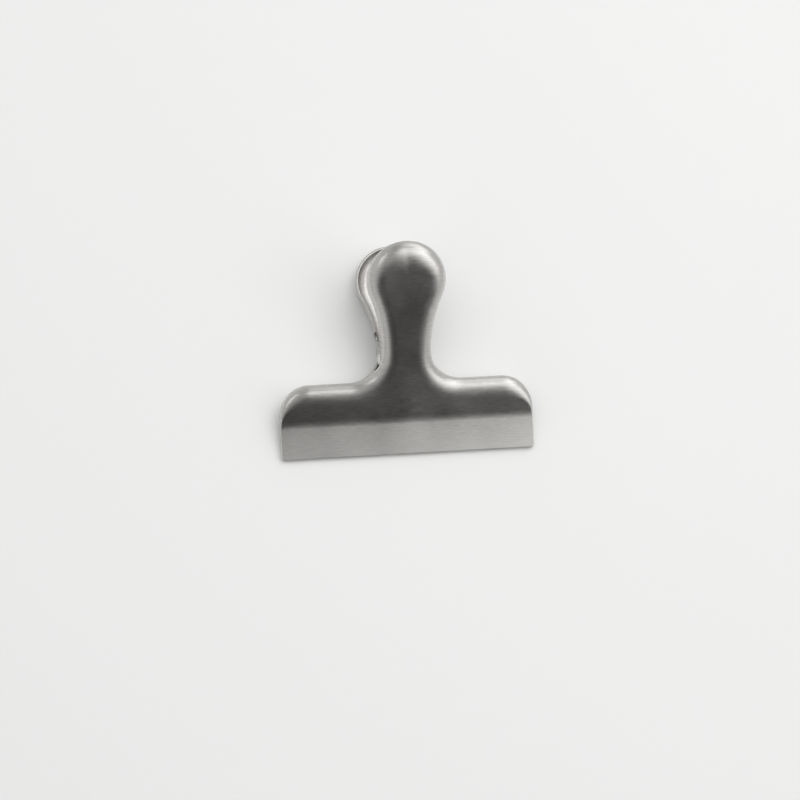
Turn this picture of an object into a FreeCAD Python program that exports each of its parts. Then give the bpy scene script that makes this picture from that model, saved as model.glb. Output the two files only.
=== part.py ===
import FreeCAD, Part
import math
import os

os.makedirs("parts", exist_ok=True)

# Wide sprung bag clip: two drawn steel plates hinged on a riveted pin, held shut by a torsion spring.
# All sizes are in millimetres.
#
# Plate frame: X along the jaw, Y up the face from the crease, Z = 0 on the outside of the face
# with the sheet and its turned-in flange below it.
# Clip frame: X along the jaw, Y from the crease to the handle along the plane where the jaws meet,
# Z out of that plane through the upper plate.
# The finished clip lies on its lower plate, on Z = 0, with its handle towards +Y.

# Sheet
sheet = 0.7
flange_depth = 4.0

# Jaw
jaw_width = 76.0
band_height = 10.2
band_corner = 0.8
jaw_gap = 0.2
crease_radius = 8.0
flange_fade = 4.5

# Face and handle outline
face_angle = 18.0
shoulder_height = 11.0
corner_radius = 9.0
shoulder_fillet = 9.5
neck_width = 14.8
bulb_diameter = 23.6
bulb_height = 42.0

# Drawn edge radius, from the crease, up the side, round the shoulder and neck, to the bulb's top
crease_edge = 0.2
side_edge = 0.6
neck_edge = 2.8
bulb_edge = 3.6
crown_edge = 5.0
least_edge = 0.05

# Hinge
hinge_height = 18.2
pin_diameter = 3.0
pin_play = 0.03
swing_play = 0.05
ear_radius = 3.6
ear_gap = 0.15
ear_inset = 0.05
ear_root_low = 17.3
ear_root_high = 23.6
flange_clearance = 0.4
notch_radius = 1.35
head_diameter = 4.2
head_height = 0.8

# Spring
wire = 1.3
coil_bore = 3.6
coil_pitch = 1.36
coil_full_turns = 4
leg_length = 16.0
leg_gap = 0.03

# Worked out from the sizes above
half_width = jaw_width / 2
half_neck = neck_width / 2
bulb_radius = bulb_diameter / 2
outer_face_z = jaw_gap / 2 + sheet
tilt = math.radians(face_angle)
bend_tangent = (crease_radius + sheet) * math.tan(tilt / 2)
plate_top = bulb_height + bulb_radius
hinge_y = hinge_height * math.cos(tilt) - outer_face_z * math.sin(tilt)
hinge_z = -hinge_height * math.sin(tilt) - outer_face_z * math.cos(tilt)
block_depth = 12.0
origin = FreeCAD.Vector(0, 0, 0)
x_axis = FreeCAD.Vector(1, 0, 0)
z_axis = FreeCAD.Vector(0, 0, 1)


def point(x, y, z=0.0):
    return FreeCAD.Vector(x, y, z)


def on_circle(centre, radius, degrees):
    angle = math.radians(degrees)
    return point(centre[0] + radius * math.cos(angle), centre[1] + radius * math.sin(angle))


def arc(centre, radius, start, end):
    middle = (start + end) / 2
    ends = [on_circle(centre, radius, a) for a in (start, middle, end)]
    return Part.Arc(*ends).toShape()


def box(x_low, x_high, y_low, y_high, z_low, z_high):
    size = (x_high - x_low, y_high - y_low, z_high - z_low)
    return Part.makeBox(*size, point(x_low, y_low, z_low))


def across(shape):
    # The same shape on the other side of the clip's middle.
    return shape.mirror(origin, x_axis)


def side_profile(points, x_low, x_high):
    # A flat polygon of (y, z) corners, stretched along the jaw.
    corners = [point(x_low, y, z) for y, z in points]
    face = Part.Face(Part.makePolygon(corners + corners[:1]))
    return face.extrude(point(x_high - x_low, 0))


def cross_rod(radius, y, z, x_low, x_high):
    return Part.makeCylinder(radius, x_high - x_low, point(x_low, y, z), x_axis)


def half_outline(inset, start):
    # The right half of the face's edge from the crease to the top of the bulb, as (edge, first
    # edge radius, last edge radius). Inset moves it inwards, which gives the inside of the flange.
    side = half_width - inset
    shoulder = shoulder_height - inset
    corner = corner_radius - inset
    fillet = shoulder_fillet + inset
    neck = half_neck - inset
    bulb = bulb_radius - inset
    neck_y = shoulder + fillet
    rise = bulb_height - neck_y
    # Radius of the hollow curve that leaves the neck upright and runs smoothly into the bulb.
    hollow = (neck ** 2 + rise ** 2 - bulb ** 2) / (2 * (bulb - neck))
    join = math.degrees(math.atan2(rise, neck + hollow))
    bulb_side = 12.0
    bulb_upper = 50.0
    upper_edge = (bulb_edge + crown_edge) / 2
    return [
        (Part.makeLine(point(side, start), point(side, shoulder - corner)), crease_edge, side_edge),
        (arc((side - corner, shoulder - corner), corner, 0, 90), side_edge, neck_edge),
        (Part.makeLine(point(side - corner, shoulder), point(neck + fillet, shoulder)),
         neck_edge, neck_edge),
        (arc((neck + fillet, neck_y), fillet, 270, 180), neck_edge, neck_edge),
        (arc((neck + hollow, neck_y), hollow, 180, 180 - join), neck_edge, bulb_edge),
        (arc((0, bulb_height), bulb, -join, bulb_side), bulb_edge, bulb_edge),
        (arc((0, bulb_height), bulb, bulb_side, bulb_upper), bulb_edge, upper_edge),
        (arc((0, bulb_height), bulb, bulb_upper, 90), upper_edge, crown_edge),
    ]


def middle_of(edge):
    return edge.valueAt((edge.FirstParameter + edge.LastParameter) / 2)


def round_edges(solid, outline, inset):
    # Rounds the top edges that lie on the outline, each with a radius that changes along it.
    document = FreeCAD.newDocument("edges")
    base = document.addObject("Part::Feature", "base")
    base.Shape = solid
    rounded = document.addObject("Part::Fillet", "rounded")
    rounded.Base = base
    radii = []
    for edge, first, last in outline:
        target = middle_of(edge)
        numbers = range(len(base.Shape.Edges))
        number = min(numbers, key=lambda i: (middle_of(base.Shape.Edges[i]) - target).Length)
        pair = [max(first - inset, least_edge), max(last - inset, least_edge)]
        # The radii run from the right end of the crease over the bulb to the left end.
        if target.x < 0:
            pair.reverse()
        radii.append((number + 1, pair[0], pair[1]))
    rounded.Edges = radii
    document.recompute()
    result = rounded.Shape.copy()
    FreeCAD.closeDocument(document.Name)
    return result


def drawn_block(inset, start):
    # The face's outline taken straight down, with its drawn edges.
    right = half_outline(inset, start)
    left = []
    for edge, first, last in right:
        begin = edge.valueAt(edge.FirstParameter)
        end = edge.valueAt(edge.LastParameter)
        middle = middle_of(edge)
        ends = [point(-p.x, p.y) for p in (begin, middle, end)]
        straight = edge.Curve.TypeId == "Part::GeomLine"
        copy = Part.makeLine(ends[0], ends[2]) if straight else Part.Arc(*ends).toShape()
        left.append((copy, first, last))
    side = half_width - inset
    base_line = Part.makeLine(point(-side, start), point(side, start))
    edges = [entry[0] for entry in right + left] + [base_line]
    face = Part.Face(Part.Wire(Part.__sortEdges__(edges)))
    block = face.extrude(point(0, 0, -block_depth - inset))
    rounded = round_edges(block, right + left, inset)
    rounded.translate(point(0, 0, -inset))
    return rounded


def drawn_shell():
    # The face with the flange turned in all round it.
    outside = drawn_block(0.0, sheet / 2)
    inside = drawn_block(sheet, -sheet / 2)
    shell = outside.cut(inside)
    keep = box(-half_width, half_width, bend_tangent, plate_top, -flange_depth, sheet)
    return shell.common(keep)


def band():
    # The flat grip below the crease and the bend that joins it to the face, in the clip frame.
    top = outer_face_z
    bottom = outer_face_z - sheet
    bend_centre = (-bend_tangent_outer(), top + crease_radius)
    outer = [bend_point(bend_centre, crease_radius, a) for a in (0, tilt / 2, tilt)]
    inner = [bend_point(bend_centre, crease_radius + sheet, a) for a in (0, tilt / 2, tilt)]
    run = bend_tangent - bend_tangent_outer()
    along = point(0, run * math.cos(tilt), run * math.sin(tilt))
    edges = [
        Part.makeLine(point(0, -band_height, bottom), inner[0]),
        Part.Arc(*inner).toShape(),
        Part.makeLine(inner[2], inner[2] + along),
        Part.makeLine(inner[2] + along, outer[2] + along),
        Part.makeLine(outer[2] + along, outer[2]),
        Part.Arc(*reversed(outer)).toShape(),
        Part.makeLine(outer[0], point(0, -band_height, top)),
        Part.makeLine(point(0, -band_height, top), point(0, -band_height, bottom)),
    ]
    profile = Part.Face(Part.Wire(edges))
    profile.translate(point(-half_width, 0))
    strip = profile.extrude(point(jaw_width, 0))
    corners = [e for e in strip.Edges if is_jaw_corner(e)]
    return strip.makeFillet(band_corner, corners)


def bend_tangent_outer():
    return crease_radius * math.tan(tilt / 2)


def bend_point(centre, radius, angle):
    return point(0, centre[0] + radius * math.sin(angle), centre[1] - radius * math.cos(angle))


def is_jaw_corner(edge):
    middle = middle_of(edge)
    at_tip = abs(middle.y + band_height) < sheet / 10
    at_side = abs(abs(middle.x) - half_width) < sheet / 10
    return at_tip and at_side


def ear(x_low, x_high, root_z, bore):
    # A lug from the neck's flange to the hinge, in the plate frame.
    disc = cross_rod(ear_radius, hinge_y, hinge_z, x_low, x_high)
    reach = math.atan2(-flange_depth - hinge_z, ear_root_high - hinge_y)
    away = math.hypot(ear_root_high - hinge_y, -flange_depth - hinge_z)
    touch = reach - math.acos(ear_radius / away)
    tangent = (hinge_y + ear_radius * math.cos(touch), hinge_z + ear_radius * math.sin(touch))
    web = side_profile([
        (hinge_y, hinge_z),
        tangent,
        (ear_root_high, -flange_depth),
        (ear_root_high, root_z),
        (ear_root_low, root_z),
        (hinge_y - ear_radius * math.sin(tilt), hinge_z + ear_radius * math.cos(tilt)),
    ], x_low, x_high)
    hole = cross_rod(bore, hinge_y, hinge_z, x_low - 1, x_high + 1)
    return disc.fuse(web).cut(hole)


def outer_ears():
    # Lugs in line with the neck's flange.
    x_high = half_neck - ear_inset
    right = ear(x_high - sheet, x_high, -neck_edge, pin_diameter / 2 + pin_play)
    return [right, across(right)]


def inner_ears():
    # Lugs set in by a sheet thickness and a gap, so that they turn inside the outer pair.
    x_high = half_neck - ear_inset - sheet - ear_gap
    right = ear(x_high - sheet, x_high, -sheet * 1.25, pin_diameter / 2 + swing_play)
    return [right, across(right)]


def flange_cuts():
    # Room in the upper plate's flange for the lower plate's ears to turn.
    x_low = half_neck - ear_inset - sheet - ear_gap / 2
    radius = ear_radius + flange_clearance
    right = cross_rod(radius, hinge_y, hinge_z, x_low, half_neck + shoulder_fillet)
    return [right, across(right)]


def root_notches():
    # Round relief notches where the lower plate's ears leave the flange.
    y = ear_root_high + notch_radius
    return [cross_rod(notch_radius, y, -flange_depth, -half_width, half_width)]


def to_clip(shape):
    placed = shape.copy()
    placed.rotate(origin, x_axis, face_angle)
    placed.translate(point(0, 0, outer_face_z))
    return placed


def below_flange():
    # Everything under the flange's rim: the rim starts at nothing where the bend ends, comes down
    # to the mid-plane, and stays just off it.
    start_y = bend_tangent * math.cos(tilt) + sheet * math.sin(tilt)
    start_z = outer_face_z + bend_tangent * math.sin(tilt) - sheet * math.cos(tilt)
    return side_profile([
        (start_y, start_z),
        (start_y + flange_fade, jaw_gap / 2),
        (jaw_width, jaw_gap / 2),
        (jaw_width, -jaw_width),
        (-jaw_width, -jaw_width),
        (-jaw_width, start_z),
    ], -jaw_width, jaw_width)


def plate(ears, cuts):
    # One whole plate as the upper one stands, in the clip frame.
    body = to_clip(drawn_shell()).cut(below_flange()).fuse(band())
    for cut in cuts:
        body = body.cut(to_clip(cut))
    for lug in ears:
        body = body.fuse(to_clip(lug))
    return body.removeSplitter()


def hinge_pin():
    # A plain shank closed over both outer ears by domed rivet heads.
    shoulder = half_neck - ear_inset
    shank = cross_rod(pin_diameter / 2, hinge_height, 0, -shoulder, shoulder)
    head_radius = head_diameter / 2
    dome = (head_radius ** 2 + head_height ** 2) / (2 * head_height)
    ball = Part.makeSphere(dome, point(shoulder + head_height - dome, hinge_height, 0))
    head = ball.common(cross_rod(dome, hinge_height, 0, shoulder, shoulder + dome))
    return shank.fuse([head, across(head)])


def torsion_spring():
    # Coils round the pin; each end runs straight on up the inside of one handle.
    radius = (coil_bore + wire) / 2
    leg_reach = -hinge_z - sheet - wire / 2 - leg_gap
    splay = math.asin(leg_reach / math.hypot(radius, leg_length)) - math.atan(radius / leg_length)
    leg_angle = tilt + splay
    # The coil ends a whole number of turns on, less the angle from one leg round to the other.
    turns = coil_full_turns + 0.5 - leg_angle / math.pi
    length = turns * coil_pitch
    helix = Part.makeHelix(coil_pitch, length, radius)
    # The helix climbs Z from angle 0; turn it so that it climbs X and starts at the first leg.
    helix.rotate(origin, z_axis, math.degrees(leg_angle) + 90)
    helix.rotate(origin, FreeCAD.Vector(1, 1, 1), 120)
    helix.translate(point(-length / 2, hinge_height))
    coil = helix.Edges[0]
    drift = leg_length * coil_pitch / (2 * math.pi * radius)
    first = coil.valueAt(coil.FirstParameter)
    last = coil.valueAt(coil.LastParameter)
    run = leg_length * math.cos(leg_angle)
    rise = leg_length * math.sin(leg_angle)
    first_tip = first + point(-drift, run, rise)
    last_tip = last + point(drift, run, -rise)
    path = Part.Wire([Part.makeLine(first_tip, first), coil, Part.makeLine(last, last_tip)])
    section = Part.Wire(Part.makeCircle(wire / 2, first_tip, first - first_tip))
    return path.makePipeShell([section], True, False)


def resting_angle():
    # How far the mid-plane leans when the lower plate lies on its jaw tip and the bulb's crown.
    crown_y = plate_top - crown_edge
    crown_v = crown_y * math.cos(tilt) + crown_edge * math.sin(tilt)
    crown_n = -outer_face_z - crown_y * math.sin(tilt) + crown_edge * math.cos(tilt)
    run = crown_v + band_height
    drop = -outer_face_z - crown_n
    return math.atan2(drop, run) + math.asin(crown_edge / math.hypot(run, drop))


def lay_down(shapes):
    # Leans the whole clip onto its lower plate and puts the origin under its middle.
    laid = []
    for shape in shapes:
        turned = shape.copy()
        turned.rotate(origin, x_axis, math.degrees(resting_angle()))
        laid.append(turned)
    bounds = FreeCAD.BoundBox()
    for shape in laid:
        bounds.add(shape.optimalBoundingBox(False))
    shift = point(0, -bounds.Center.y, -bounds.ZMin)
    for shape in laid:
        shape.translate(shift)
    return laid, shift


upper_jaw = plate(inner_ears(), flange_cuts())
lower_jaw = plate(outer_ears(), root_notches()).mirror(origin, z_axis)
names = ["upper_jaw", "lower_jaw", "hinge_pin", "torsion_spring"]
laid_shapes, laid_shift = lay_down([upper_jaw, lower_jaw, hinge_pin(), torsion_spring()])
for name, shape in zip(names, laid_shapes):
    shape.exportStep("parts/" + name + ".step")
    print(name, shape.isValid(), len(shape.Solids), round(shape.Volume, 2))

lean = resting_angle()
hinge = (hinge_height * math.cos(lean) + laid_shift.y, hinge_height * math.sin(lean) + laid_shift.z)
print("lean", round(math.degrees(lean), 4), "hinge", round(hinge[0], 5), round(hinge[1], 5))
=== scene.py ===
import math

import bmesh
import bpy
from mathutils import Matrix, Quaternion, Vector


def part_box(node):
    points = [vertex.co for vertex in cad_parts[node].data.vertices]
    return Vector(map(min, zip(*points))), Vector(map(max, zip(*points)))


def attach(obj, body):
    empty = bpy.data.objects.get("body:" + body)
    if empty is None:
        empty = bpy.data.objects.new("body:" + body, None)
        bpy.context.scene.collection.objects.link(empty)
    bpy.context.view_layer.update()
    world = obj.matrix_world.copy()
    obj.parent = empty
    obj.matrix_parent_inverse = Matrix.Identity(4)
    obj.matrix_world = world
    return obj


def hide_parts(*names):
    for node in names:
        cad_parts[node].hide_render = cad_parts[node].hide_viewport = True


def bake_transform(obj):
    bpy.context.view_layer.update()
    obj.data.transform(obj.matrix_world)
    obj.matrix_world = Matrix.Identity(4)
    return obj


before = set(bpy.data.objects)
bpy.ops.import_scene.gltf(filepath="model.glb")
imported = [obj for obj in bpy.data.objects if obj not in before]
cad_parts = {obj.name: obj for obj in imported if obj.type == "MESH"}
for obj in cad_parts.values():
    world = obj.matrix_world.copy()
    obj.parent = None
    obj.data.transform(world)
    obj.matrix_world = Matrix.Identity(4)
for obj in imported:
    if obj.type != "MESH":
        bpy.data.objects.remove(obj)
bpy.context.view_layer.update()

# The bag clip's looks: two drawn and brushed steel plates, a riveted pin and a torsion spring.
# Lengths are in millimetres until to_row() turns them into the frame's metres.
MM = 0.001

# Sheet
SHEET = 0.7
FLANGE_DEPTH = 4.0
RIM = 0.17
SHARP_FOLD = 0.15

# Outline of a plate: Y runs up the face from the crease
HALF_WIDTH = 38.0
BAND_HEIGHT = 10.2
BAND_CORNER = 0.8
JAW_GAP = 0.2
CREASE_RADIUS = 8.0
FACE_ANGLE = math.radians(18)
SHOULDER_HEIGHT = 11.0
CORNER_RADIUS = 9.0
SHOULDER_FILLET = 9.5
HALF_NECK = 7.4
BULB_RADIUS = 11.8
BULB_HEIGHT = 42.0

# Drawn edge at each place along the outline: how far down it turns, and how far in it starts
RIM_EDGE = (RIM, RIM)
SHOULDER_EDGE = (3.2, 5.8)
NECK_EDGE = (3.1, 4.7)
BULB_EDGE = (3.8, 5.5)
CROWN_EDGE = (4.7, 9.5)
CROWN_RADIUS = 5.0
CROWN_START = math.radians(12)
CROWN_POINT = math.radians(6)
# How sharply its width falls off from the crown's middle, and how much its turn tightens
CROWN_FALL = 1.3
CURVE_EASE = 0.55

# Hinge
HINGE_HEIGHT = 18.2
PIN_RADIUS = 1.5
HEAD_RADIUS = 2.1
HEAD_HEIGHT = 0.8
HEAD_EDGE = 0.12
EAR_RADIUS = 3.6
EAR_INSET = 0.05
EAR_GAP = 0.15
EAR_ROOT_LOW = 17.3
EAR_ROOT_HIGH = 23.6
EAR_ROOT_LOWER = 2.55
EAR_ROOT_UPPER = 1.25
EAR_EDGE = 0.12
EAR_BORE = 1.55
FLANGE_CLEARANCE = 0.4
NOTCH_RADIUS = 1.35
NOTCH_SHAPE = 0.7
# Shares of an edge's width: where the head's dome starts, and where an eased edge's middle lies
DOME_START = 0.4
EASED = 0.3

# Spring
WIRE = 1.3
COIL_BORE = 3.6
COIL_PITCH = 1.36
COIL_FULL_TURNS = 4
LEG_LENGTH = 16.0
LEG_GAP = 0.03
WIRE_EASE = 0.14

# Flange: how fast it deepens past the crease, how softly that starts, meets the middle between
# the plates and ends, and a depth below any flange
FLANGE_SLOPE = 0.442
FLANGE_START = 0.35
FLANGE_MEET = 0.5
FLANGE_END = 0.6
BEYOND_FLANGE = FLANGE_DEPTH * 2

# How finely the surfaces are divided, and what counts as the same place. MERGE is in metres.
FACE_STEPS = 18
CURVE_STEPS = 32
UNDERSIDE_STEPS = 12
CORNER_STEPS = 3
RING_MARGIN = 0.35
FLAT_UNDERSIDE = 0.7
EAR_STEPS = 96
DOME_STEPS = 13
PIN_STEPS = 72
COIL_STEPS = 56
LEG_STEPS = 30
WIRE_STEPS = 24
UV_SPAN = 100
UV_MIDDLE = 0.5
MERGE = 0.000003
SHARP = math.radians(38)
SIDEWAYS = 0.9
NEAR = 1e-6
TINY = 1e-9

# How many steps each stretch of a plate's outline has, from the tip's middle to the crown
TIP_STEPS = 8
TIP_CORNER_STEPS = 6
BAND_SIDE_STEPS = 6
BEND_STEPS = 14
FACE_SIDE_STEPS = 4
FACE_CORNER_STEPS = 48
SHOULDER_STEPS = 10
FILLET_STEPS = 40
NECK_STEPS = 110
BULB_STEPS = 60

# Camera. Azimuth 0 is in front of the jaws, 90 to their right. The aim is measured from the
# hinge, and only the reach is in metres.
CAMERA_AIM = (-2.78, -13.22, 1.91)
CAMERA_AZIMUTH = -34.468
CAMERA_ELEVATION = 72.907
CAMERA_ROLL = 30.237
CAMERA_DISTANCE = 758.8
CAMERA_LENS = 115.73
SENSOR = 36
CAMERA_REACH = 20

# Studio: side and height in degrees, distance and size in metres, power in watts
SOFTBOXES = {
    "top_back": (118, 66, 1.1, (0.5, 0.8), 1.7),
    "low_back": (145, 38, 1.2, (0.9, 0.6), 1.8),
    "left": (-110, 52, 1.1, (0.4, 0.4), 0.6),
    "right": (68, 50, 1.1, (0.7, 0.7), 1.75),
    "fill": (180, 80, 1.2, (1.2, 1.2), 6.5),
}
UNSEEN_LIGHT = "fill"
FLOOR_SIZE = 6.0
FLOOR_COLOUR = (0.8, 0.8, 0.795, 1)
FLOOR_ROUGHNESS = 0.75
HORIZON = 0.38
PALEST = 0.8
OVERHEAD = 0.46
PALEST_HEIGHT = 0.28
OVERHEAD_HEIGHT = 0.6
UNLIT_SIDE = (0.16, -0.77, 0.61)
UNLIT_EDGE = (0.70, 0.93)
UNLIT_LEVEL = 0.02

# Steel: streaks and scratches in marks per 100 mm of sheet, smudges and waves per metre of the
# piece, bumps in metres
FINE_STREAKS = 2.5
BROAD_SHARE = 0.45
STREAK_SHARE = 0.8
BROAD_DETAIL = 3
FINE_DETAIL = 2
SMUDGE_DETAIL = 3
PLAIN_DETAIL = 1
TONE_RANGE = (0.33, 0.67)
MARK_RANGE = (0.3, 0.7)
UNEVEN_ROUGHNESS = (-0.03, 0.03)
HANDLED_ROUGHNESS = (-0.015, 0.05)
FINE_RELIEF = 0.5
BUMP_STRENGTH = 0.5
STREAK_BUMP = 0.000008
DRAWN_BUMP = 0.0001
QUARTER_TURN = 0.25
SMUDGE_SCALE = 70
WAVE_SCALE = 38
# How strongly the painted reflection lightens the jaw's tip
TIP_HIGHLIGHT = 0.55
SCRATCH_TURNS = (28, -41)
SCRATCH_GRAIN = (5, 260, 1)
SCRATCH_CUT = (0.69, 0.73)
SCRATCH_STRENGTH = 0.35

# Worked out from the sizes above
TOP = JAW_GAP / 2 + SHEET
BEND_HALF = CREASE_RADIUS * math.tan(FACE_ANGLE / 2)
BEND_END = BEND_HALF
BEND_START = BEND_END - CREASE_RADIUS * FACE_ANGLE
BAND_SHIFT = -BEND_HALF - BEND_START
TIP = -BAND_HEIGHT - BAND_SHIFT
HINGE_Y = HINGE_HEIGHT * math.cos(FACE_ANGLE) - TOP * math.sin(FACE_ANGLE)
HINGE_DEPTH = HINGE_HEIGHT * math.sin(FACE_ANGLE) + TOP * math.cos(FACE_ANGLE)


def resting_angle():
    # How far the plane between the jaws leans when the clip lies on its lower plate.
    crown_y = BULB_HEIGHT + BULB_RADIUS - CROWN_RADIUS
    crown_v = crown_y * math.cos(FACE_ANGLE) + CROWN_RADIUS * math.sin(FACE_ANGLE)
    crown_n = -TOP - crown_y * math.sin(FACE_ANGLE) + CROWN_RADIUS * math.cos(FACE_ANGLE)
    run = crown_v + BAND_HEIGHT
    drop = -TOP - crown_n
    return math.atan2(drop, run) + math.asin(CROWN_RADIUS / math.hypot(run, drop))


LEAN = resting_angle()
pin_low, pin_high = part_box("hinge_pin")
HINGE = (pin_low + pin_high) / 2


def to_row(x, v, n):
    # From the plane between the jaws (v up it, n out of it) to the frame, in metres.
    up = (v - HINGE_HEIGHT) * MM
    out = n * MM
    y = HINGE.y + up * math.cos(LEAN) - out * math.sin(LEAN)
    z = HINGE.z + up * math.sin(LEAN) + out * math.cos(LEAN)
    return Vector((x * MM, y, z))


def bend_up(y, depth):
    # From a plate laid flat (y, depth below its outside) to the clip's (v, n), round the crease.
    if y <= BEND_START:
        return y + BAND_SHIFT, TOP - depth
    if y < BEND_END:
        turn = (y - BEND_START) / CREASE_RADIUS
        radius = CREASE_RADIUS + depth
        return radius * math.sin(turn) - BEND_HALF, TOP + CREASE_RADIUS - radius * math.cos(turn)
    cos, sin = math.cos(FACE_ANGLE), math.sin(FACE_ANGLE)
    return y * cos + depth * sin, TOP + y * sin - depth * cos


def soft_min(a, b, softness):
    blend = max(0.0, min(1.0, 0.5 + 0.5 * (b - a) / softness))
    return b + (a - b) * blend - softness * blend * (1 - blend)


def between(first, last, t):
    return tuple(a + (b - a) * t for a, b in zip(first, last))


def smooth(t):
    return t * t * (3 - 2 * t)


def drawn_edge(x, y):
    # How far down the edge turns at a place on the outline, and how far in it starts.
    steps = [(BEND_START, RIM_EDGE), (SHOULDER_HEIGHT, SHOULDER_EDGE),
             (SHOULDER_HEIGHT + SHOULDER_FILLET, NECK_EDGE),
             (BULB_HEIGHT + BULB_RADIUS * math.sin(CROWN_START), BULB_EDGE)]
    edge = RIM_EDGE
    for (low, before), (high, after) in zip(steps, steps[1:]):
        t = max(0.0, min(1.0, (y - low) / (high - low)))
        if t > 0:
            edge = between(before, after, smooth(t))
    if t < 1:
        return edge
    # Over the crown it widens to a blunt point in the middle.
    span = math.hypot(math.pi / 2 - CROWN_START, CROWN_POINT) - CROWN_POINT
    away = math.atan2(abs(x), y - BULB_HEIGHT)
    share = 1 - (math.hypot(away, CROWN_POINT) - CROWN_POINT) / span
    return between(BULB_EDGE, CROWN_EDGE, max(0.0, share) ** CROWN_FALL)


class Station:
    # One place on a plate's edge: where it is, which way is out, and how it is drawn there.
    def __init__(self, x, y, out):
        self.x = x
        self.y = y
        self.out = out
        self.edge, self.reach = drawn_edge(x, y)

    def across(self):
        return Station(-self.x, self.y, (-self.out[0], self.out[1]))


def straight(start, end, out, count):
    return [Station(*between(start, end, i / count), out) for i in range(count)]


def curved(centre, radius, first, last, count, hollow=False):
    stations = []
    for i in range(count):
        t = i / count
        angle = math.radians(first + (last - first) * t)
        ray = (math.cos(angle), math.sin(angle))
        out = (-ray[0], -ray[1]) if hollow else ray
        x, y = centre[0] + radius * ray[0], centre[1] + radius * ray[1]
        stations.append(Station(x, y, out))
    return stations


def outline():
    # The whole edge of a plate, anticlockwise from the middle of the jaw's tip.
    neck_y = SHOULDER_HEIGHT + SHOULDER_FILLET
    rise = BULB_HEIGHT - neck_y
    hollow = (HALF_NECK ** 2 + rise ** 2 - BULB_RADIUS ** 2) / (2 * (BULB_RADIUS - HALF_NECK))
    join = math.degrees(math.atan2(rise, HALF_NECK + hollow))
    side, corner, tip_corner = HALF_WIDTH, CORNER_RADIUS, BAND_CORNER
    shoulder_start = SHOULDER_HEIGHT - corner
    inner_end = HALF_NECK + SHOULDER_FILLET
    right = straight((0, TIP), (side - tip_corner, TIP), (0, -1), TIP_STEPS)
    right += curved((side - tip_corner, TIP + tip_corner), tip_corner, -90, 0, TIP_CORNER_STEPS)
    right += straight((side, TIP + tip_corner), (side, BEND_START), (1, 0), BAND_SIDE_STEPS)
    right += straight((side, BEND_START), (side, BEND_END), (1, 0), BEND_STEPS)
    right += straight((side, BEND_END), (side, shoulder_start), (1, 0), FACE_SIDE_STEPS)
    right += curved((side - corner, shoulder_start), corner, 0, 90, FACE_CORNER_STEPS)
    right += straight((side - corner, SHOULDER_HEIGHT), (inner_end, SHOULDER_HEIGHT), (0, 1),
                      SHOULDER_STEPS)
    right += curved((inner_end, neck_y), SHOULDER_FILLET, 270, 180, FILLET_STEPS, hollow=True)
    right += curved((HALF_NECK + hollow, neck_y), hollow, 180, 180 - join, NECK_STEPS,
                    hollow=True)
    right += curved((0, BULB_HEIGHT), BULB_RADIUS, -join, 90, BULB_STEPS)
    top = Station(0, BULB_HEIGHT + BULB_RADIUS, (0, 1))
    left = [station.across() for station in reversed(right[1:])]
    return right + [top] + left


def flange_at(station, lower):
    # How deep the turned-in flange reaches below the outside of the face.
    # Its inner edge has to stay clear of the other plate too, and lies lower down the face.
    y = station.y
    inner_y = y - max(0.0, station.out[1]) * SHEET
    middle = (SHEET + inner_y * math.sin(FACE_ANGLE)) / math.cos(FACE_ANGLE)
    start = BEND_END + SHEET * math.tan(FACE_ANGLE / 2)
    fade = SHEET + (y - start) * FLANGE_SLOPE
    depth = soft_min(soft_min(fade, middle, FLANGE_MEET), FLANGE_DEPTH, FLANGE_END)
    depth = -soft_min(-depth, -SHEET, FLANGE_START)
    if y < SHOULDER_HEIGHT:
        return depth
    on_neck = abs(station.x) < HALF_NECK + SHOULDER_FILLET
    if lower and on_neck:
        # A relief notch beside each ear, a little more pointed than a half circle.
        offset = (y - EAR_ROOT_HIGH - NOTCH_RADIUS) / NOTCH_RADIUS
        if abs(offset) < 1:
            depth -= NOTCH_RADIUS * (1 - offset ** 2) ** NOTCH_SHAPE
    elif on_neck:
        # Room for the other plate's ears to turn.
        radius = EAR_RADIUS + FLANGE_CLEARANCE
        offset = abs(y - HINGE_Y)
        if offset < radius:
            hollow = HINGE_DEPTH - math.sqrt(radius ** 2 - offset ** 2)
            depth = soft_min(depth, hollow, FLANGE_MEET)
    return depth


def drawn_curve(drop, reach, corner):
    # A quarter turn from along the face to down the flange, tightest near the flange.
    u, w = 0.0, 0.0
    points = [(u, w)]
    for i in range(CURVE_STEPS):
        t = (i + 0.5) / CURVE_STEPS
        turn = math.pi / 2 * ((1 - CURVE_EASE) * t + CURVE_EASE * smooth(t))
        u -= math.cos(turn)
        w += math.sin(turn)
        points.append((u, w))
    return [(corner + reach * (1 + a / w), corner + drop * b / w) for a, b in points]


def cut_at_depth(points, depth):
    # The part of a curve that is above this depth, ending exactly on it.
    kept = [points[0]]
    for a, b in zip(points, points[1:]):
        if b[1] >= depth:
            t = (depth - a[1]) / max(b[1] - a[1], TINY)
            kept.append((a[0] + (b[0] - a[0]) * t, depth))
            return kept
        kept.append(b)
    return kept


def spaced(points, count, drop):
    # Evenly spaced points along a curve, leaving off a length at its end.
    lengths = [math.dist(a, b) for a, b in zip(points, points[1:])]
    total = sum(lengths) - drop
    result = []
    for i in range(count + 1):
        target = total * i / count
        k = 0
        while k < len(lengths) - 1 and target > lengths[k]:
            target -= lengths[k]
            k += 1
        t = target / max(lengths[k], TINY)
        a, b = points[k], points[k + 1]
        result.append((a[0] + (b[0] - a[0]) * t, a[1] + (b[1] - a[1]) * t))
    return result


def rounded(before, corner, after):
    # Points between before and after on a smooth turn round a corner.
    points = []
    for i in range(1, CORNER_STEPS + 1):
        t = i / CORNER_STEPS
        a, b, c = (1 - t) ** 2, 2 * t * (1 - t), t * t
        points.append(tuple(a * p + b * q + c * r for p, q, r in zip(before, corner, after)))
    return points


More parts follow.
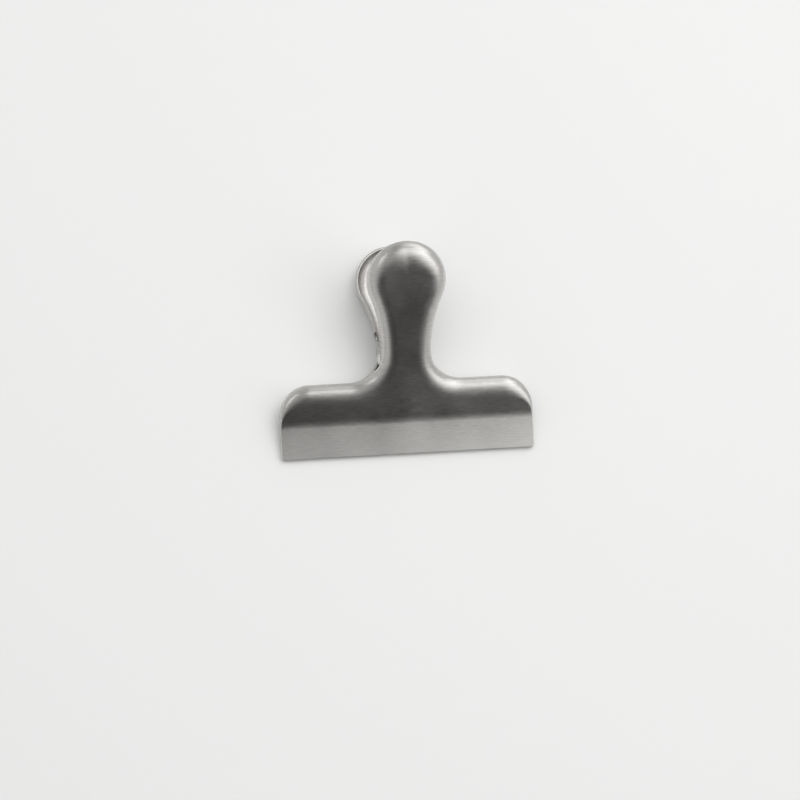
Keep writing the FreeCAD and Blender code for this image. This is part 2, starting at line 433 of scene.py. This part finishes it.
def ring_inset(station):
    # How far in from the edge the flat part of the face starts.
    if station.y <= BEND_START:
        return RIM + RING_MARGIN
    folded = max(station.reach, SHEET + SHARP_FOLD)
    share = min(1.0, (station.y - BEND_START) / (BEND_END - BEND_START))
    return RIM + (folded - RIM) * share + RING_MARGIN


def section(station, lower):
    # The sheet's cut edge at a station, as (inwards, down) points from the top round the rim.
    inset = ring_inset(station)
    depth = flange_at(station, lower)
    curve = drawn_curve(station.edge, station.reach, 0.0)
    outside = [(inset, 0.0)] + curve + [(0.0, BEYOND_FLANGE)]
    outside = cut_at_depth(outside, depth)
    if depth > SHEET:
        drop = max(station.edge - SHEET, SHARP_FOLD)
        reach = max(station.reach - SHEET, SHARP_FOLD)
        inside = [(inset, SHEET)] + drawn_curve(drop, reach, SHEET) + [(SHEET, BEYOND_FLANGE)]
        inside = cut_at_depth(inside, depth)
    else:
        inside = [(inset, SHEET), (inset * FLAT_UNDERSIDE, SHEET)]
    outer, inner = outside[-1], inside[-1]
    turn = min(RIM, (inset - inner[0]) / 2)
    top = spaced(outside, FACE_STEPS, RIM)
    bottom = spaced(inside, UNDERSIDE_STEPS, turn)
    before = (inner[0] - turn, depth)
    path = top + rounded(top[-1], outer, (outer[0] + RIM, depth))
    path += [before] + rounded(before, inner, bottom[-1])
    return path + list(reversed(bottom[:-1])), inset


def run_lengths(path):
    # How far along a path each of its points lies.
    lengths = [0.0]
    for a, b in zip(path, path[1:]):
        lengths.append(lengths[-1] + math.dist(a, b))
    return lengths


def bridge(mesh, ring, following, closed=True):
    # A strip of faces between one ring of points and the next.
    for k in range(len(ring) if closed else len(ring) - 1):
        j = (k + 1) % len(ring)
        mesh.faces.new((ring[k], ring[j], following[j], following[k]))


def plate_mesh(name, lower):
    # One drawn plate as a closed mesh, with where each point lies on the flat sheet as its UV.
    stations = outline()
    mesh = bmesh.new()
    sheet_uv = mesh.loops.layers.uv.new("sheet")
    flat_place = {}
    rings = []
    rim = FACE_STEPS + CORNER_STEPS
    for station in stations:
        path, inset = section(station, lower)
        ring = []
        lengths = run_lengths(path)
        for k, (inward, depth) in enumerate(path):
            x = station.x - station.out[0] * inward
            y = station.y - station.out[1] * inward
            v, n = bend_up(y, depth)
            vertex = mesh.verts.new(to_row(x, v, -n if lower else n))
            spread = lengths[k] if k <= rim else lengths[-1] - lengths[k]
            spread -= inset
            flat_place[vertex] = (station.x + station.out[0] * spread,
                                  station.y + station.out[1] * spread)
            ring.append(vertex)
        rings.append(ring)
    count = len(rings)
    for i, ring in enumerate(rings):
        bridge(mesh, ring, rings[(i + 1) % count], closed=False)
    # The flat middle, above and below, is closed over the band, the face and each step between.
    on_side = [i for i, station in enumerate(stations[:count // 2])
               if BEND_START - NEAR <= station.y <= BEND_END + NEAR and station.out[0] > SIDEWAYS]
    for end in (0, -1):
        band = [rings[i][end] for i in range(-on_side[0], on_side[0] + 1)]
        face = [rings[i][end] for i in range(on_side[-1], count - on_side[-1] + 1)]
        mesh.faces.new(band)
        mesh.faces.new(face)
        for a, b in zip(on_side, on_side[1:]):
            mesh.faces.new((rings[a][end], rings[b][end], rings[-b][end], rings[-a][end]))
    bmesh.ops.recalc_face_normals(mesh, faces=mesh.faces)
    return finished(name, mesh, sheet_uv, flat_place)


def ear_mesh(name, lower):
    # A pair of lugs that reach from the neck's flange down to the pin, with eased edges.
    set_in = EAR_INSET if lower else EAR_INSET + SHEET + EAR_GAP
    root = EAR_ROOT_LOWER if lower else EAR_ROOT_UPPER
    near, far = HALF_NECK - set_in - SHEET, HALF_NECK - set_in
    high = (EAR_ROOT_HIGH - HINGE_Y, HINGE_DEPTH - FLANGE_DEPTH)
    top = (EAR_ROOT_HIGH - HINGE_Y, HINGE_DEPTH - root)
    low = (EAR_ROOT_LOW - HINGE_Y, HINGE_DEPTH - root)
    heel_turn = math.pi / 2 + FACE_ANGLE
    heel = (EAR_RADIUS * math.cos(heel_turn), EAR_RADIUS * math.sin(heel_turn))
    touch_turn = math.atan2(high[1], high[0]) - math.acos(EAR_RADIUS / math.hypot(*high))
    touch = (EAR_RADIUS * math.cos(touch_turn), EAR_RADIUS * math.sin(touch_turn))
    corners = [touch, high, top, low, heel]
    turns = [math.tau * i / EAR_STEPS - math.pi for i in range(EAR_STEPS)]
    turns += [math.atan2(corner[1], corner[0]) for corner in corners]
    chamfer = EAR_EDGE * EASED
    mesh = bmesh.new()
    sheet_uv = mesh.loops.layers.uv.new("sheet")
    flat_place = {}
    for side in (-1, 1):
        rings = []
        for turn in sorted(turns):
            reach = ray_reach(turn, corners)
            ring = []
            eased = [(EAR_BORE + EAR_EDGE, near), (reach - EAR_EDGE, near),
                     (reach - chamfer, near + chamfer), (reach, near + EAR_EDGE),
                     (reach, far - EAR_EDGE), (reach - chamfer, far - chamfer),
                     (reach - EAR_EDGE, far), (EAR_BORE + EAR_EDGE, far),
                     (EAR_BORE, far - EAR_EDGE), (EAR_BORE, near + EAR_EDGE)]
            for radius, x in eased:
                y = HINGE_Y + radius * math.cos(turn)
                depth = HINGE_DEPTH - radius * math.sin(turn)
                v, n = bend_up(y, depth)
                vertex = mesh.verts.new(to_row(side * x, v, -n if lower else n))
                flat_place[vertex] = (side * (x + depth), y)
                ring.append(vertex)
            rings.append(ring)
        for i, ring in enumerate(rings):
            bridge(mesh, ring, rings[(i + 1) % len(rings)])
    bmesh.ops.recalc_face_normals(mesh, faces=mesh.faces)
    return finished(name, mesh, sheet_uv, flat_place)


def ray_reach(turn, corners):
    # How far an ear's outline is from the pin's centre in one direction.
    ray = (math.cos(turn), math.sin(turn))
    reach = EAR_RADIUS
    for a, b in zip(corners, corners[1:]):
        edge = (b[0] - a[0], b[1] - a[1])
        cross = ray[0] * edge[1] - ray[1] * edge[0]
        if abs(cross) < TINY:
            continue
        along = (a[0] * edge[1] - a[1] * edge[0]) / cross
        share = (a[0] * ray[1] - a[1] * ray[0]) / cross
        if along > 0 and -NEAR <= share <= 1 + NEAR:
            reach = max(reach, along)
    return reach


def placed(name, data):
    # An object of this data, in the scene.
    thing = bpy.data.objects.new(name, data)
    bpy.context.scene.collection.objects.link(thing)
    return thing


def finished(name, mesh, uv_layer, flat_place):
    # Turns a bmesh into a smooth shaded object with its flat sheet places as UV.
    for face in mesh.faces:
        face.smooth = True
        for loop in face.loops:
            x, y = flat_place[loop.vert]
            loop[uv_layer].uv = (UV_MIDDLE + x / UV_SPAN, UV_MIDDLE + y / UV_SPAN)
    data = bpy.data.meshes.new(name)
    mesh.to_mesh(data)
    mesh.free()
    return placed(name, data)


def joined(piece, lugs):
    # One solid of a plate and its ears.
    union = piece.modifiers.new("ears", "BOOLEAN")
    union.operation = "UNION"
    union.solver = "EXACT"
    union.object = lugs
    graph = bpy.context.evaluated_depsgraph_get()
    data = bpy.data.meshes.new_from_object(piece.evaluated_get(graph))
    piece.modifiers.clear()
    piece.data = data
    bpy.data.objects.remove(lugs)
    mesh = bmesh.new()
    mesh.from_mesh(piece.data)
    bmesh.ops.dissolve_degenerate(mesh, edges=mesh.edges, dist=MERGE)
    bmesh.ops.remove_doubles(mesh, verts=mesh.verts, dist=MERGE)
    mesh.to_mesh(piece.data)
    mesh.free()
    piece.data.set_sharp_from_angle(angle=SHARP)
    return piece


def hinge_pin():
    # A shank closed over at both ends by domed heads.
    shoulder = HALF_NECK - EAR_INSET
    dome = (HEAD_RADIUS ** 2 + HEAD_HEIGHT ** 2) / (2 * HEAD_HEIGHT)
    start = math.asin((HEAD_RADIUS - HEAD_EDGE * DOME_START) / dome)
    half = [(PIN_RADIUS, 0.0), (PIN_RADIUS, shoulder), (HEAD_RADIUS - HEAD_EDGE, shoulder),
            (HEAD_RADIUS - HEAD_EDGE * EASED, shoulder + HEAD_EDGE * EASED)]
    for i in range(DOME_STEPS):
        turn = start * (1 - i / DOME_STEPS)
        crown = shoulder + HEAD_HEIGHT - dome + dome * math.cos(turn)
        half.append((dome * math.sin(turn), max(crown, shoulder + HEAD_EDGE)))
    profile = [(r, -x) for r, x in reversed(half)] + half[1:]
    mesh = bmesh.new()
    sheet_uv = mesh.loops.layers.uv.new("sheet")
    flat_place = {}
    rings = []
    for radius, x in profile:
        ring = []
        for i in range(PIN_STEPS):
            turn = math.tau * i / PIN_STEPS
            place = to_row(x, HINGE_HEIGHT + radius * math.cos(turn), radius * math.sin(turn))
            vertex = mesh.verts.new(place)
            flat_place[vertex] = (radius * math.cos(turn) + x, radius * math.sin(turn))
            ring.append(vertex)
        rings.append(ring)
    for ring, following in zip(rings, rings[1:]):
        bridge(mesh, ring, following)
    for ring, x in ((rings[0], -shoulder - HEAD_HEIGHT), (rings[-1], shoulder + HEAD_HEIGHT)):
        crown = mesh.verts.new(to_row(x, HINGE_HEIGHT, 0))
        flat_place[crown] = (x, 0)
        for i in range(PIN_STEPS):
            mesh.faces.new((ring[i], ring[(i + 1) % PIN_STEPS], crown))
    bmesh.ops.recalc_face_normals(mesh, faces=mesh.faces)
    piece = finished("pin", mesh, sheet_uv, flat_place)
    piece.data.set_sharp_from_angle(angle=SHARP)
    return piece


def spring_path():
    # The wire's middle line: up one leg, round the coils, out along the other leg.
    radius = (COIL_BORE + WIRE) / 2
    reach = HINGE_DEPTH - SHEET - WIRE / 2 - LEG_GAP
    splay = math.asin(reach / math.hypot(radius, LEG_LENGTH)) - math.atan(radius / LEG_LENGTH)
    leg_angle = FACE_ANGLE + splay
    turns = COIL_FULL_TURNS + 0.5 - leg_angle / math.pi
    half_coil = turns * COIL_PITCH / 2
    coil = []
    steps = round(turns * COIL_STEPS)
    for i in range(steps + 1):
        t = i / steps
        turn = leg_angle + math.pi / 2 + math.tau * turns * t
        coil.append(Vector((-half_coil + 2 * half_coil * t,
                            HINGE_HEIGHT + radius * math.cos(turn), radius * math.sin(turn))))
    drift = LEG_LENGTH * COIL_PITCH / (math.tau * radius)
    run, rise = LEG_LENGTH * math.cos(leg_angle), LEG_LENGTH * math.sin(leg_angle)
    first_tip = coil[0] + Vector((-drift, run, rise))
    last_tip = coil[-1] + Vector((drift, run, -rise))
    first = [first_tip.lerp(coil[0], i / LEG_STEPS) for i in range(LEG_STEPS)]
    last = [coil[-1].lerp(last_tip, (i + 1) / LEG_STEPS) for i in range(LEG_STEPS)]
    return first + coil + last, half_coil


def torsion_spring():
    # Round wire swept along the path, with eased ends.
    path, half_coil = spring_path()
    ease = WIRE * WIRE_EASE
    mesh = bmesh.new()
    sheet_uv = mesh.loops.layers.uv.new("sheet")
    flat_place = {}
    rings = []
    side = None
    travelled = 0.0
    leaving = (path[1] - path[0]).normalized()
    arriving = (path[-1] - path[-2]).normalized()
    places = [(path[0], WIRE / 2 - ease),
              (path[0] + leaving * ease * EASED, WIRE / 2 - ease * EASED)]
    places += [(place, WIRE / 2) for place in path[1:-1]]
    places += [(path[-1] - arriving * ease * EASED, WIRE / 2 - ease * EASED),
               (path[-1], WIRE / 2 - ease)]
    middles = [place for place, _ in places]
    for i, (place, radius) in enumerate(places):
        ahead = middles[min(i + 1, len(middles) - 1)] - middles[max(i - 1, 0)]
        ahead.normalize()
        if side is None:
            side = ahead.cross(Vector((1, 0, 0)))
        else:
            side = side - ahead * side.dot(ahead)
        side.normalize()
        up = ahead.cross(side)
        travelled += (place - middles[max(i - 1, 0)]).length
        ring = []
        for k in range(WIRE_STEPS):
            turn = math.tau * k / WIRE_STEPS
            out = side * math.cos(turn) + up * math.sin(turn)
            vertex = mesh.verts.new(to_row(*(place + out * radius)))
            flat_place[vertex] = (travelled, radius * math.sin(turn / 2) * 2)
            ring.append(vertex)
        rings.append(ring)
    for ring, following in zip(rings, rings[1:]):
        bridge(mesh, ring, following)
    mesh.faces.new(rings[0])
    mesh.faces.new(rings[-1])
    bmesh.ops.recalc_face_normals(mesh, faces=mesh.faces)
    piece = finished("spring", mesh, sheet_uv, flat_place)
    piece.data.set_sharp_from_angle(angle=SHARP)
    return piece, half_coil


class Nodes:
    # Shorthand for one node tree: makes nodes, sets their inputs and links them.
    def __init__(self, tree):
        self.tree = tree
        tree.nodes.clear()

    def add(self, kind, settings=None, **inputs):
        node = self.tree.nodes.new(kind)
        for key, value in (settings or {}).items():
            setattr(node, key, value)
        for key, value in inputs.items():
            self.put(node, key.replace("_", " "), value)
        return node

    def put(self, node, key, value):
        socket = node.inputs[int(key) if key.isdigit() else key]
        if isinstance(value, bpy.types.NodeSocket):
            self.tree.links.new(value, socket)
        else:
            socket.default_value = value

    def maths(self, operation, *values):
        node = self.add("ShaderNodeMath", {"operation": operation})
        for i, value in enumerate(values):
            self.put(node, str(i), value)
        return node.outputs[0]

    def weigh(self, first, second, share):
        # A mean of two values, in which the first one's part is share.
        rest = self.maths("MULTIPLY", second, 1 - share)
        return self.maths("ADD", self.maths("MULTIPLY", first, share), rest)

    def noise(self, place, stretch, detail, turn=0.0):
        # Noise from about 0 to 1, with its own scale along each axis, turned by some degrees.
        if turn:
            place = self.add("ShaderNodeVectorRotate", {"rotation_type": "Z_AXIS"}, Vector=place,
                             Angle=math.radians(turn)).outputs[0]
        mapping = self.add("ShaderNodeMapping", Vector=place, Scale=stretch)
        noise = self.add("ShaderNodeTexNoise", Vector=mapping.outputs[0], Scale=1.0, Detail=detail)
        return noise.outputs["Fac"]

    def ramp(self, value, low, high, start, end, soft=False):
        # From start to end as a value goes from low to high, and level beyond them.
        shape = "SMOOTHSTEP" if soft else "LINEAR"
        node = self.add("ShaderNodeMapRange", {"interpolation_type": shape}, Value=value)
        limits = {"From Min": low, "From Max": high, "To Min": start, "To Max": end}
        for key, number in limits.items():
            node.inputs[key].default_value = number
        return node.outputs[0]

    def blend_colour(self, share, first, second):
        node = self.add("ShaderNodeMix", {"data_type": "RGBA"})
        for socket, value in zip((0, 6, 7), (share, first, second)):
            self.put(node, str(socket), value)
        return node.outputs[2]


def steel(name, dark, light, roughness, grain, anisotropy, tip_highlight=None):
    # Brushed or drawn steel. Grain is (along, across) in marks per 100 mm of flat sheet.
    material = bpy.data.materials.new(name)
    material.use_nodes = True
    nodes = Nodes(material.node_tree)
    sheet = nodes.add("ShaderNodeUVMap", {"uv_map": "sheet"}).outputs[0]
    body = nodes.add("ShaderNodeTexCoord").outputs["Object"]
    along, across = grain
    broad = nodes.noise(sheet, (along, across, 1), BROAD_DETAIL)
    fine = nodes.noise(sheet, (along * FINE_STREAKS, across * FINE_STREAKS, 1), FINE_DETAIL)
    smudge = nodes.noise(body, (SMUDGE_SCALE,) * 3, SMUDGE_DETAIL)
    marks = nodes.weigh(broad, fine, BROAD_SHARE)
    tone = nodes.weigh(marks, smudge, STREAK_SHARE)
    colour = nodes.blend_colour(nodes.ramp(tone, *TONE_RANGE, 0, 1), dark, light)
    if tip_highlight:
        # A painted reflection: the jaw's band is painted brighter toward its tip, standing in for
        # the light it reflects there.
        height = nodes.add("ShaderNodeSeparateXYZ", Vector=sheet).outputs["Y"]
        tip_highlight_share = nodes.ramp(height, UV_MIDDLE + TIP / UV_SPAN, UV_MIDDLE, TIP_HIGHLIGHT, 0.0)
        colour = nodes.blend_colour(tip_highlight_share, colour, tip_highlight)
    for turn in SCRATCH_TURNS:
        hairs = nodes.noise(sheet, SCRATCH_GRAIN, PLAIN_DETAIL, turn)
        scratched = nodes.ramp(hairs, *SCRATCH_CUT, 0.0, SCRATCH_STRENGTH)
        colour = nodes.blend_colour(scratched, colour, light)
    uneven = nodes.ramp(marks, *MARK_RANGE, *UNEVEN_ROUGHNESS)
    handled = nodes.ramp(smudge, *MARK_RANGE, *HANDLED_ROUGHNESS)
    rough = nodes.maths("ADD", nodes.maths("ADD", uneven, handled), roughness)
    relief = nodes.maths("ADD", broad, nodes.maths("MULTIPLY", fine, FINE_RELIEF))
    bump = nodes.add("ShaderNodeBump", Height=relief, Strength=BUMP_STRENGTH,
                     Distance=STREAK_BUMP)
    wave = nodes.noise(body, (WAVE_SCALE,) * 3, PLAIN_DETAIL)
    drawn = nodes.add("ShaderNodeBump", Height=wave, Strength=BUMP_STRENGTH,
                      Distance=DRAWN_BUMP, Normal=bump.outputs[0])
    shader = nodes.add("ShaderNodeBsdfPrincipled", Metallic=1.0, Anisotropic=anisotropy,
                       Roughness=rough, Normal=drawn.outputs[0])
    nodes.put(shader, "Base Color", colour)
    if anisotropy:
        tangent = nodes.add("ShaderNodeTangent", {"direction_type": "UV_MAP", "uv_map": "sheet"})
        nodes.put(shader, "Tangent", tangent.outputs[0])
        nodes.put(shader, "Anisotropic Rotation", QUARTER_TURN)
    nodes.add("ShaderNodeOutputMaterial", Surface=shader.outputs[0])
    return material


def paint(piece, material):
    piece.data.materials.clear()
    piece.data.materials.append(material)


def make_floor():
    mesh = bmesh.new()
    bmesh.ops.create_grid(mesh, x_segments=1, y_segments=1, size=FLOOR_SIZE)
    data = bpy.data.meshes.new("floor")
    mesh.to_mesh(data)
    mesh.free()
    floor = placed("floor", data)
    material = bpy.data.materials.new("floor")
    material.use_nodes = True
    nodes = Nodes(material.node_tree)
    shader = nodes.add("ShaderNodeBsdfPrincipled", Roughness=FLOOR_ROUGHNESS)
    nodes.put(shader, "Base Color", FLOOR_COLOUR)
    nodes.add("ShaderNodeOutputMaterial", Surface=shader.outputs[0])
    floor.data.materials.append(material)


def direction(azimuth, elevation):
    # A unit vector towards a place at this azimuth and elevation, in degrees.
    turn, rise = math.radians(azimuth), math.radians(elevation)
    level = math.cos(rise)
    return Vector((math.sin(turn) * level, -math.cos(turn) * level, math.sin(rise)))


def make_softbox(name, azimuth, elevation, distance, size, power):
    # A rectangular light that faces the clip. The unseen one lights it without being reflected.
    away = direction(azimuth, elevation)
    light = placed(name, bpy.data.lights.new(name, "AREA"))
    light.data.shape = "RECTANGLE"
    light.data.size, light.data.size_y = size
    light.data.energy = power
    light.location = away * distance
    light.visible_glossy = name != UNSEEN_LIGHT
    light.rotation_euler = (-away).to_track_quat("-Z", "Y").to_euler()


def make_world():
    # Grey at the horizon, pale above it, greyer overhead, and dark high in front, where it is
    # unlit.
    world = bpy.data.worlds.new("studio")
    world.use_nodes = True
    nodes = Nodes(world.node_tree)
    way = nodes.add("ShaderNodeTexCoord").outputs["Generated"]
    height = nodes.add("ShaderNodeSeparateXYZ", Vector=way).outputs["Z"]
    rise = nodes.ramp(height, 0.0, PALEST_HEIGHT, HORIZON, PALEST, soft=True)
    fall = nodes.ramp(height, PALEST_HEIGHT, OVERHEAD_HEIGHT, 1.0, OVERHEAD / PALEST, soft=True)
    sky = nodes.maths("MULTIPLY", rise, fall)
    facing = nodes.add("ShaderNodeVectorMath", {"operation": "DOT_PRODUCT"})
    nodes.put(facing, "0", way)
    nodes.put(facing, "1", Vector(UNLIT_SIDE).normalized())
    lit = nodes.ramp(facing.outputs["Value"], *UNLIT_EDGE, 1.0, UNLIT_LEVEL, soft=True)
    background = nodes.add("ShaderNodeBackground", Strength=nodes.maths("MULTIPLY", sky, lit))
    nodes.put(background, "Color", (1.0, 1.0, 1.0, 1))
    nodes.add("ShaderNodeOutputWorld", Surface=background.outputs[0])
    bpy.context.scene.world = world


def make_camera():
    aim = HINGE + Vector(CAMERA_AIM) * MM
    back = direction(CAMERA_AZIMUTH, CAMERA_ELEVATION)
    camera = placed("camera", bpy.data.cameras.new("camera"))
    camera.data.lens = CAMERA_LENS
    camera.data.sensor_width = SENSOR
    camera.data.clip_end = CAMERA_REACH
    camera.rotation_mode = "QUATERNION"
    roll = Quaternion((0, 0, 1), math.radians(CAMERA_ROLL))
    camera.rotation_quaternion = (-back).to_track_quat("-Z", "Y") @ roll
    camera.location = aim + back * CAMERA_DISTANCE * MM
    bpy.context.scene.camera = camera


make_camera()
make_floor()
for box_name, box in SOFTBOXES.items():
    make_softbox(box_name, *box)
make_world()
bpy.context.scene.view_settings.view_transform = "Standard"

# The plates' last colour is a painted reflection that lightens the jaw toward its tip.
plate_steel = steel("plate_steel", dark=(0.44, 0.429, 0.413, 1), light=(0.74, 0.724, 0.698, 1),
                    roughness=0.31, grain=(22, 330), anisotropy=0.5,
                    tip_highlight=(0.88, 0.865, 0.84, 1))
pin_steel = steel("pin_steel", dark=(0.60, 0.585, 0.565, 1), light=(0.78, 0.765, 0.745, 1),
                  roughness=0.22, grain=(60, 60), anisotropy=0.0)
spring_steel = steel("spring_steel", dark=(0.58, 0.57, 0.55, 1),
                     light=(0.78, 0.765, 0.745, 1),
                     roughness=0.16, grain=(8, 150), anisotropy=0.4)

upper = joined(plate_mesh("upper_plate", False), ear_mesh("upper_ears", False))
lower = joined(plate_mesh("lower_plate", True), ear_mesh("lower_ears", True))
pin = hinge_pin()
spring, half_coil = torsion_spring()
for piece, node, finish in (
    (upper, "upper_jaw", plate_steel),
    (lower, "lower_jaw", plate_steel),
    (pin, "hinge_pin", pin_steel),
    (spring, "torsion_spring", spring_steel),
):
    paint(piece, finish)
    paint(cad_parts[node], finish)
    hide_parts(node)
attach(upper, "upper")
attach(lower, "lower")
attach(pin, "lower")
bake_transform(spring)
